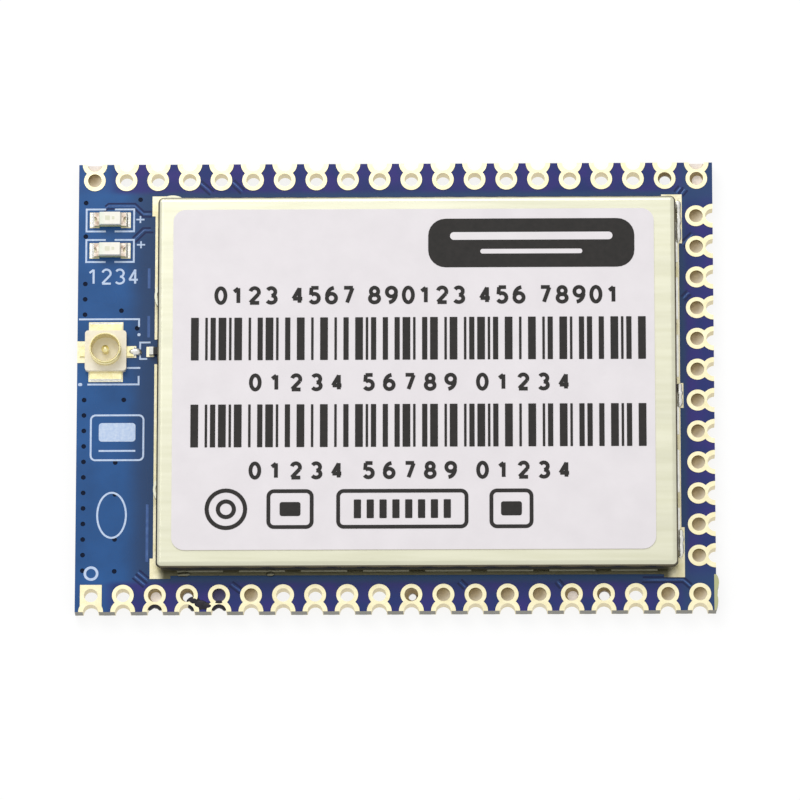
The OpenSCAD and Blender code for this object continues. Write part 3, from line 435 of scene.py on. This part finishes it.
def digit(number):
    """The strokes of a plain digit in a box 0.6 wide and 1 high, each with whether it closes on itself.
    They are straight lines and elliptic arcs."""
    def loop(centre, radii):
        return arc(centre, radii, 0, 360, 28)[:-1], True

    def line(*points):
        return np.array(points, float), False

    return {
        0: [loop((0.3, 0.5), (0.3, 0.5))],
        1: [line((0.34, 1.0), (0.34, 0.0)), line((0.06, 0.76), (0.34, 0.98))],
        2: [(arc((0.3, 0.72), (0.28, 0.28), 165, -30, 14), False), line((0.54, 0.58), (0.02, 0.02)),
            line((0.0, 0.0), (0.6, 0.0))],
        3: [(arc((0.28, 0.74), (0.27, 0.26), 150, -85, 12), False),
            (arc((0.28, 0.25), (0.3, 0.25), 85, -150, 12), False)],
        4: [line((0.42, 1.0), (0.42, 0.0)), line((0.6, 0.27), (0.0, 0.27)), line((0.02, 0.27), (0.42, 0.97))],
        5: [line((0.56, 1.0), (0.08, 1.0)), line((0.1, 1.0), (0.06, 0.52)),
            (arc((0.28, 0.3), (0.3, 0.3), 130, -150, 14), False)],
        6: [loop((0.3, 0.3), (0.3, 0.3)), (arc((0.5, 0.4), (0.5, 0.6), 95, 175, 8), False)],
        7: [line((0.02, 1.0), (0.6, 1.0)), line((0.57, 0.98), (0.22, 0.0))],
        8: [loop((0.3, 0.75), (0.24, 0.25)), loop((0.3, 0.26), (0.3, 0.26))],
        9: [loop((0.3, 0.7), (0.3, 0.3)), (arc((0.1, 0.6), (0.5, 0.6), -85, -5, 8), False)],
    }[number]


def numerals(numbers, left, base, height, advance, weight, low, high):
    """A line of digits, each one advance further along, and 0.55 of one for each gap (None). Each
    stroke of a digit stands two thousandths higher than the last, so that crossings stay clean."""
    size, drawn, x = height - weight, [], left
    for number in numbers:
        for order, (stroke, closed) in enumerate(digit(number) if number is not None else ()):
            drawn.append(ribbon(stroke * size + (x + weight / 2, base + weight / 2), weight, low,
                                high + 0.002 * order, closed))
        x += advance * (1 if number is not None else 0.55)
    return drawn


def bars(left, right, base, height, low, high):
    """Bars of three widths. Bar and gap widths follow two wandering cosines, and are scaled to fill
    the row, so they carry no code."""
    count = 46
    turn = np.arange(count)
    bar = np.array([1.0, 2.1, 3.1])[np.round(1 + np.cos(2.4 * turn + 0.7 * np.cos(0.9 * turn))).astype(int)]
    gap = 1.1 + 1.5 * (np.cos(1.7 * turn * turn + 1.0) > 0.2)
    unit = (right - left) / (bar.sum() + gap[:-1].sum())
    start = left + unit * np.concatenate([[0], np.cumsum(bar + gap)[:-1]])
    middle = start + unit * bar / 2
    return [slab(outline(w * unit, height, 0.02, 1), (x, base + height / 2), low, high)
            for x, w in zip(middle, bar)]


print_low, print_high = label_high[2] - 0.02, label_high[2] + ink
label_left, label_top = label_low[0], label_high[1]


def from_corner(x, y):
    """A place on the label, right and down from its upper left corner."""
    return np.array([label_left + x, label_top - y])


printed = []
for row_top in (7.04, 12.66):
    x, y = from_corner(1.15, row_top + 2.76)
    printed += bars(x, x + 28.5, y, 2.76, print_low, print_high)
counting = [0, 1, 2, 3, 4, None, 5, 6, 7, 8, 9, None, 0, 1, 2, 3, 4]
for row_base in (11.82, 17.5):
    x, y = from_corner(4.8, row_base)
    printed += numerals(counting, x, y, 1.16, 1.28, 0.24, print_low, print_high)
# The upper line is five groups of counting figures, of 4, 4, 6, 3 and 5.
upper_line = [0, 1, 2, 3, None, 4, 5, 6, 7, None, 8, 9, 0, 1, 2, 3, None, 4, 5, 6, None, 7, 8, 9, 0, 1]
x, y = from_corner(2.6, 6.2)
printed += numerals(upper_line, x, y, 1.2, 1.06, 0.24, print_low, print_high)
# Plain marks along the foot: a ring in a ring, two framed blocks and a framed row of bars.
foot = 19.4
for radius in (1.2, 0.5):
    printed.append(ribbon(arc(from_corner(3.4, foot), (radius, radius), 0, 360, 36)[:-1], 0.26,
                          print_low, print_high, closed=True))
for place, width in ((7.4, 2.7), (14.4, 8.0), (21.2, 2.5)):
    printed.append(ribbon(outline(width, 2.3, 0.35) + from_corner(place, foot), 0.24,
                          print_low, print_high, closed=True))
printed += [slab(outline(1.3, 0.9, 0.15), from_corner(place, foot), print_low, print_high)
            for place in (7.4, 21.2)]
printed += [slab(outline(0.45, 1.2, 0.05), from_corner(11.6 + 0.8 * bar, foot), print_low, print_high)
            for bar in range(8)]

# The large dark field at the label's upper right, with two pale stripes across it.
field = from_corner(22.5, 2.23)
printed.append(slab(outline(12.95, 3.17, 1.1), field, print_low, print_high))
piece("label_print", printed, print_ink)
piece("label_field_stripe", [
    slab(outline(10.2, 0.5, 0.24), field + (0, 0.45), print_high - 0.006, print_high + 0.006),
    slab(outline(6.4, 0.3, 0.14), field + (0, -0.55), print_high - 0.006, print_high + 0.006)],
    looks["label_stock"])


# ---------------------------------------------------------------- silkscreen

silk_low, silk_high = face - 0.02, face + ink
silk_w = 0.115
drawn = []
half_x, half_y, gap = 1.5, 0.72, 0.28    # of the frame round each lamp
for lamp_y in lamp_rows:
    for turn in (1, -1):
        path = np.array([(gap, half_y), (half_x, half_y), (half_x, -half_y), (gap, -half_y)]) * (turn, 1)
        drawn.append(ribbon(path + (lamp_x, lamp_y), silk_w, silk_low, silk_high))
for plus in ((-16.1, 10.9), (-16.05, 9.25)):
    drawn.append(ribbon([(plus[0] - 0.26, plus[1]), (plus[0] + 0.26, plus[1])], 0.1, silk_low, silk_high))
    drawn.append(ribbon([(plus[0], plus[1] - 0.23), (plus[0], plus[1] + 0.23)], 0.1,
                        silk_low, silk_high + 0.002))
socket_x = (socket_low[0] + socket_high[0]) / 2
socket_y = (socket_low[1] + socket_high[1]) / 2
right_x = socket_x + 2.07
upper_y = socket_y + 2.14
lower_y = socket_y - 2.1
drawn += [
    ribbon([(-edge_x + 0.08, upper_y), (right_x, upper_y), (right_x, upper_y - 0.5)],
           silk_w, silk_low, silk_high),
    ribbon([(right_x, lower_y + 0.55), (right_x, lower_y), (-edge_x + 0.65, lower_y)],
           silk_w, silk_low, silk_high),
    ribbon([(right_x - 0.75, socket_y - 1.03), (right_x + 0.1, socket_y - 1.03)], 0.12, silk_low, silk_high),
    ribbon([(-15.4, socket_y + 0.62), (-16.05, socket_y + 0.62), (-16.05, socket_y - 0.45),
            (-15.6, socket_y - 0.45)], 0.11, silk_low, silk_high),
    slab(outline(0.2, 0.2, 0.09), (right_x, socket_y + 1.13), silk_low, silk_high),
    slab(outline(0.26, 0.2, 0.09), (-edge_x + 0.2, lower_y), silk_low, silk_high),
]
# The ring beside pin one, and counting figures below the lamps.
drawn.append(ribbon(arc((-19.0, -12.04), (0.385, 0.385), 0, 360, 32)[:-1], 0.16,
                    silk_low, silk_high, closed=True))
drawn += numerals((1, 2, 3, 4), -19.4, 6.65, 1.05, 0.85, 0.13, silk_low, silk_high)
# A writing block and an empty oval.
block_x, block_y = -17.45, -3.3
drawn.append(ribbon(outline(3.3, 2.9, 0.3) + (block_x, block_y), silk_w, silk_low, silk_high, closed=True))
drawn.append(slab(outline(2.3, 1.2, 0.2), (block_x, block_y + 0.35), silk_low, silk_high))
drawn.append(ribbon([(block_x - 1.15, block_y - 0.85), (block_x + 1.15, block_y - 0.85)],
                    silk_w, silk_low, silk_high))
drawn.append(ribbon(arc((-17.75, -8.3), (0.9, 1.45), 0, 360, 40)[:-1], 0.12,
                    silk_low, silk_high, closed=True))
piece("silkscreen", drawn, silk_ink)


# ---------------------------------------------------------------- tracks and plugged holes

# Each track runs from a pad or lamp to the can. Its mask stands up as a low ridge, between two gaps.
tracks = [
    [(-18.35, 11.6), (-18.15, 11.78), (-16.45, 11.78), (-15.9, 11.25), (-15.36, 11.25)],
    [(-16.5, 9.55), (-15.85, 10.2), (-15.36, 10.2)],
    [(-12.35, 13.3), (-11.6, 12.62)],
    [(-10.3, 13.35), (-9.65, 12.7)],
    [(17.72, 12.5), (18.02, 12.88)],
    [(18.0, 12.4), (18.3, 12.78)],
    [(18.05, 9.1), (18.75, 9.8)],
    [(18.08, 5.6), (18.4, 5.95), (18.5, 5.95)],
    [(-16.1, -11.95), (-15.45, -12.5)],
    [(-16.3, -12.2), (-15.6, -12.8)],
    [(-10.25, -12.72), (-9.62, -13.2)],
    [(4.0, -12.6), (4.4, -13.0)],
    [(10.1, -12.62), (10.4, -12.98)],
    [(15.4, -12.55), (17.95, -12.55), (18.45, -13.0)],
]
ridges, gaps = [], []
for number, path in enumerate(tracks):
    path = np.array(path)
    level = face + 0.003 + 0.0006 * number        # each at its own level, since some lie across others
    ridges.append(bead(path, 0.1, 0.03, face - 0.005))
    step = path[-1] - path[0]
    away = np.array([-step[1], step[0]]) / np.linalg.norm(step) * 0.17
    gaps += [ribbon(path + away, 0.11, face - 0.02, level),
             ribbon(path - away, 0.11, face - 0.02, level + 0.0003)]
piece("mask_ridges", ridges, track_mask)
piece("mask_gaps", gaps, gap_mask_and_shade)

# Copper edges beside the can show through the mask as pale upright strips.
strips = [ribbon([(-15.52, a), (-15.52, b)], 0.17, face - 0.02, face + 0.006)
          for a, b in ((7.7, 6.4), (4.6, 3.2), (-7.6, -11.3))]
piece("copper_edge_strips", strips, track_mask)

fence_y = np.concatenate([[12.0, 9.8, 6.7, 5.7, 4.7], -0.85 - np.arange(12)])
inner = np.array([(3.9, 12.2), (2.75, 4.95), (3.75, 3.8), (2.95, -0.85),
                  (2.45, -4.9), (2.45, -6.95), (2.45, -9.85), (2.45, -11.9)]) - (edge_x, 0)
small_holes = [(-edge_x + 0.46, y) for y in fence_y] + [tuple(spot) for spot in inner]
piece("via_plugs", [slab(arc((0, 0), (0.145, 0.145), 0, 345, 15), spot, face - 0.079, face - 0.03)
                    for spot in small_holes], plug_resin)


# ---------------------------------------------------------------- flux, residue and solder

def plug(x, y, top, tilt):
    """Flux in a hole: a disc whose upper face sinks by dish x (1 - share of the radius squared), and
    leans by tilt x that share x the cosine of the angle from the lower right."""
    dish = 0.05
    turn = np.linspace(0, 2 * pi, 24, endpoint=False)
    share = np.array([1.0, 1.0, 0.8, 0.6, 0.4, 0.2])
    across = (hole_r - 0.005) * share[:, None]
    level = top - dish * (1 - share[:, None] ** 2) + tilt * share[:, None] * np.cos(turn + pi / 4)
    level[0] = 0.02
    return skin(np.stack([x + across * np.cos(turn), y + across * np.sin(turn), level], -1))


filled = [(column_x, y) for y in column_y] + [(row_x[0], row_y)]
filled += [(row_x[i], -row_y) for i in (5, 11, 12, 13, 14, 18, 19)]
piece("flux_in_holes", [plug(x, y, 0.86, 0.08) for x, y in filled], flux)
piece("pale_flux_centres", [plug(x, y, 0.74, 0.02) for x, y in
                            ((row_x[2], -row_y), (row_x[15], -row_y), (row_x[19], row_y))],
      pale_flux)

# Rings of flux cling to the walls of the holes that stayed open.
rings = []
open_holes = [(row_x[18], row_y, 0.07), (row_x[19], row_y, 0.12)]
open_holes += [(row_x[i], -row_y, thick)
               for i, thick in ((2, 0.12), (3, 0.12), (10, 0.2), (15, 0.13), (16, 0.1))]
for x, y, thick in open_holes:
    turn = np.linspace(0, 2 * pi, 24, endpoint=False)
    inner_r = hole_r - thick * (1 - 0.5 * np.cos(turn + pi / 4))
    wall = np.stack([x + (hole_r - 0.004) * np.cos(turn), y + (hole_r - 0.004) * np.sin(turn)], -1)
    lip = np.stack([x + inner_r * np.cos(turn), y + inner_r * np.sin(turn)], -1)
    levels = ((wall, 0.3), (wall, 0.85), (lip, 0.7), (lip, 0.35))
    rings.append(np.stack([np.hstack([ring, np.full((24, 1), z)]) for ring, z in levels], 1))
piece("flux_rings", rings, flux)

halves = []
for x in (row_x[0], row_x[19]):
    bowl = arc((0, 0), (notch_r - 0.01, notch_r - 0.01), 180, 360, 16)
    halves.append(slab(bowl, (x, edge_y - 0.02), 0.05, 0.8, 0.05))
piece("pale_flux_in_notches", halves, pale_flux)


def hugging(place, start, stop, width, height, seed):
    """Residue on the upper wall of a half hole in the lower edge, from one angle to another."""
    rim = arc((row_x[place], -edge_y), (notch_r - 0.07, notch_r - 0.07), start, stop, 8)
    return bead(rim, width, height, 0.76, 0.05, seed)


burnt = [
    hugging(2, 20, 160, 0.24, 0.3, 1.0),
    hugging(3, 12, 80, 0.24, 0.3, 4.0),
    hugging(4, 15, 165, 0.26, 0.3, 2.0),
    dome((row_x[3] + 0.42, -edge_y + 0.68), (0.4, 0.3), face, 0.05, 0.05, 2.0),
    dome((row_x[3] + 0.78, -edge_y + 0.45), (0.5, 0.32), face, 0.05, 0.05, 3.0),
    dome((row_x[3] + 1.25, -edge_y + 0.36), (0.42, 0.24), face, 0.05, 0.05, 1.0),
    dome((row_x[4], -edge_y + 0.6), (0.28, 0.1), face, 0.08, 0.04, 5.0),
]
piece("burnt_residue", burnt, residue)
piece("stained_resin_in_hole", [plug(row_x[4], -row_y, 0.7, 0.03)], stained_resin)

# Beads and drops of solder on the lands, against the can and the socket's tail.
wall_x = cover_high[0] + 0.16
wall_y = cover_low[1] - 0.14
land_top = face + 0.03
joints = [bead([(wall_x, a), (wall_x, (a + b) / 2), (wall_x, b)], 0.42, height, land_top, 0.12, seed)
          for seed, (a, b, height) in enumerate(((12.05, 9.2, 0.3), (0.1, -1.5, 0.24), (-9.3, -11.2, 0.22)))]
joints += [dome((x, wall_y), (r, 0.15), land_top, 0.16, 0.1, x) for x, r in ((-13.2, 0.45), (-7.8, 0.3))]
joints.append(dome((socket_x + 1.85, socket_y), (0.42, 0.27), land_top, 0.24, 0.06, 2.0))
piece("solder_joints", joints, looks["solder"])

dies = []
for lamp_y in lamp_rows:
    dies += [slab(outline(0.3, 0.3, 0.03), (lamp_x - 0.15, lamp_y), lamp_high[2] - 0.01, lamp_high[2] + 0.006),
             slab(outline(0.16, 0.2, 0.03), (lamp_x + 0.2, lamp_y), lamp_high[2] - 0.01, lamp_high[2] + 0.006)]
piece("lamp_dies", dies, phosphor)


# ---------------------------------------------------------------- light, floor and camera

scene = bpy.context.scene
scene.view_settings.view_transform = "Standard"


def seen_share(tree):
    """1 for camera, glossy and transmission rays, 0 for the rays that light the object."""
    ray = add(tree, "LightPath")
    seen = add(tree, "Math", {0: ray["Is Camera Ray"], 1: ray["Is Glossy Ray"]}, operation="MAXIMUM")[0]
    return add(tree, "Math", {0: seen, 1: ray["Is Transmission Ray"]}, operation="MAXIMUM")[0]


world = bpy.data.worlds.new("pale_room")
scene.world = world
world.use_nodes = True
sky = world.node_tree
strength = add(sky, "MapRange", {0: seen_share(sky), 3: 0.72, 4: 1.0})[0]
sky.links.new(strength, sky.nodes["Background"].inputs["Strength"])
sky.nodes["Background"].inputs["Color"].default_value = (1, 1, 1, 1)


def lamp(name, place, size, watts):
    """A square soft lamp that looks at the object's middle. Place in metres."""
    data = bpy.data.lights.new(name, "AREA")
    data.size, data.energy = size, watts
    shown = bpy.data.objects.new(name, data)
    shown.location = place
    shown.rotation_euler = (-Vector(place)).to_track_quat("-Z", "Y").to_euler()
    scene.collection.objects.link(shown)


lamp("key_from_upper_left", (-0.22, 0.36, 0.36), 0.3, 0.7)
lamp("softbox_over_the_far_edge", (-0.04, 0.16, 0.2), 0.14, 0.13)

floor_mesh = bpy.data.meshes.new("floor")
floor_z = -0.02 * MM                    # clear of the board's underside
floor_mesh.from_pydata([(x, y, floor_z) for x, y in ((-1, -1), (1, -1), (1, 1), (-1, 1))], [], [(0, 1, 2, 3)])
floor = bpy.data.objects.new("floor", floor_mesh)
scene.collection.objects.link(floor)
paper = bpy.data.materials.new("white_card")
paper.use_nodes = True
card = paper.node_tree
card.nodes["Principled BSDF"].inputs["Base Color"].default_value = linear("#f4f4f4")
card.nodes["Principled BSDF"].inputs["Roughness"].default_value = 0.9
card.nodes["Principled BSDF"].inputs["Specular IOR Level"].default_value = 0.1
# It shows four fifths white, so that a fifth of its own shade keeps the object's shadow.
share = add(card, "Math", {0: seen_share(card), 1: 0.8}, operation="MULTIPLY")[0]
glow = add(card, "Emission", {"Color": (1, 1, 1, 1), "Strength": 1.05})[0]
both = add(card, "MixShader", {0: share, 1: card.nodes["Principled BSDF"].outputs[0], 2: glow})[0]
# From below the card is clear, and so it is to rays that leave the board's underside just above it.
close_by = add(card, "Math", {0: add(card, "LightPath")["Ray Length"], 1: 0.1 * MM}, operation="LESS_THAN")[0]
clear = add(card, "Math", {0: add(card, "NewGeometry")["Backfacing"], 1: close_by}, operation="MAXIMUM")[0]
both = add(card, "MixShader", {0: clear, 1: both, 2: add(card, "BsdfTransparent")[0]})[0]
card.links.new(both, card.nodes["Material Output"].inputs["Surface"])
floor_mesh.materials.append(paper)

# The camera looks down steeply from the side of the lower row, a little from the right.
azimuth, elevation, roll = radians(3.4), radians(75.55), radians(-3.5)
distance = 0.5
target = Vector((0.29, -0.93, 1.04)) * MM
back = Vector((sin(azimuth) * cos(elevation), -cos(azimuth) * cos(elevation), sin(elevation)))
level_right = Vector((0, 0, 1)).cross(back).normalized()
level_up = back.cross(level_right)
right = cos(roll) * level_right + sin(roll) * level_up
up = cos(roll) * level_up - sin(roll) * level_right
camera = bpy.data.objects.new("camera", bpy.data.cameras.new("camera"))
camera.data.sensor_width = 36
camera.data.lens = 358.7
camera.data.clip_start, camera.data.clip_end = 0.01, 10
turned = Matrix((right, up, back)).transposed().to_4x4()
camera.matrix_world = Matrix.Translation(target + distance * back) @ turned
scene.collection.objects.link(camera)
scene.camera = camera
